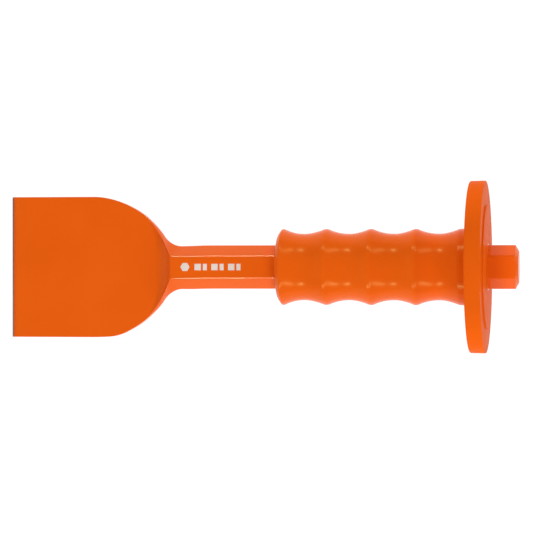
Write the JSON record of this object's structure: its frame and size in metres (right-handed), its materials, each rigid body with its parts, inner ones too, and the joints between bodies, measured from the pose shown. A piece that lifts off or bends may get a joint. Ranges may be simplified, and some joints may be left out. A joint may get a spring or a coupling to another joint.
{
  "type": "brick bolster chisel",
  "caption": "Wide-bladed masonry chisel forged from hexagon bar, with a finger-grip sleeve and a round hand guard near the striking end.",
  "frame": {"origin": "middle of the cutting edge, at half the blade's thickness", "axes": "+X along the bar from the cutting edge to the striking face, +Y across the blade, +Z out of the blade's face"},
  "size_m": [0.254, 0.0848, 0.0848],
  "materials": {
    "forging_paint": "semi-gloss enamel",
    "grip_rubber": "satin moulding",
    "guard_rubber": "satin moulding",
    "bare_steel": "ground",
    "mark_ink": "pad-printed ink"
  },
  "bodies": {
    "root": {"chisel": "forging_paint", "grip_sleeve": "grip_rubber", "hand_guard": "guard_rubber"}
  },
  "joints": []
}
